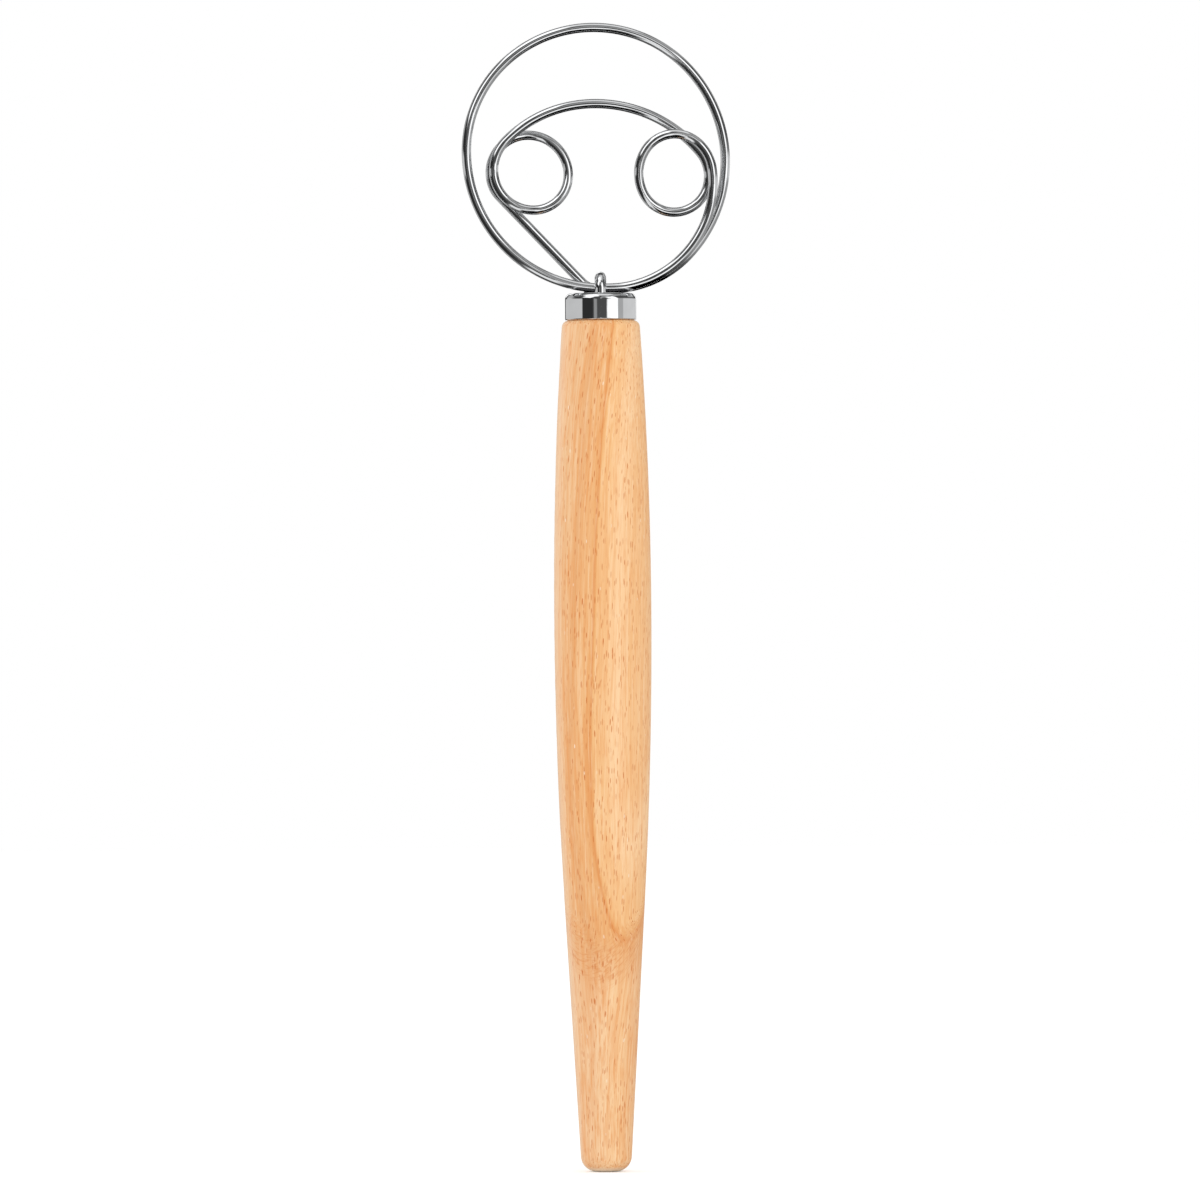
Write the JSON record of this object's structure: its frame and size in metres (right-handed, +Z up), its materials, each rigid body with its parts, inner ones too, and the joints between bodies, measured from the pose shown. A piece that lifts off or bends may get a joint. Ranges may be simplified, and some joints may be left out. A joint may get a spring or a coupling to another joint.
{
  "type": "dough whisk",
  "caption": "Hand tool for mixing stiff dough: a flat wire ring with two inner loops, stapled to the ferrule of a turned wooden handle.",
  "frame": {"origin": "middle of the small flat at the butt of the handle", "axes": "+Z up the handle from the butt to the wire head; the head lies in the XZ plane with its front towards -Y; +X to the right as seen from the front"},
  "size_m": [0.0793, 0.0288, 0.3402],
  "materials": {
    "wire_steel": "polished stainless wire",
    "staple_steel": "polished rod",
    "ferrule_steel": "bright drawn sheet",
    "wood": "turned, sanded and lightly oiled"
  },
  "bodies": {
    "root": {"wire_head": "wire_steel", "staple": "staple_steel", "ferrule": "ferrule_steel", "handle": "wood"}
  },
  "joints": []
}
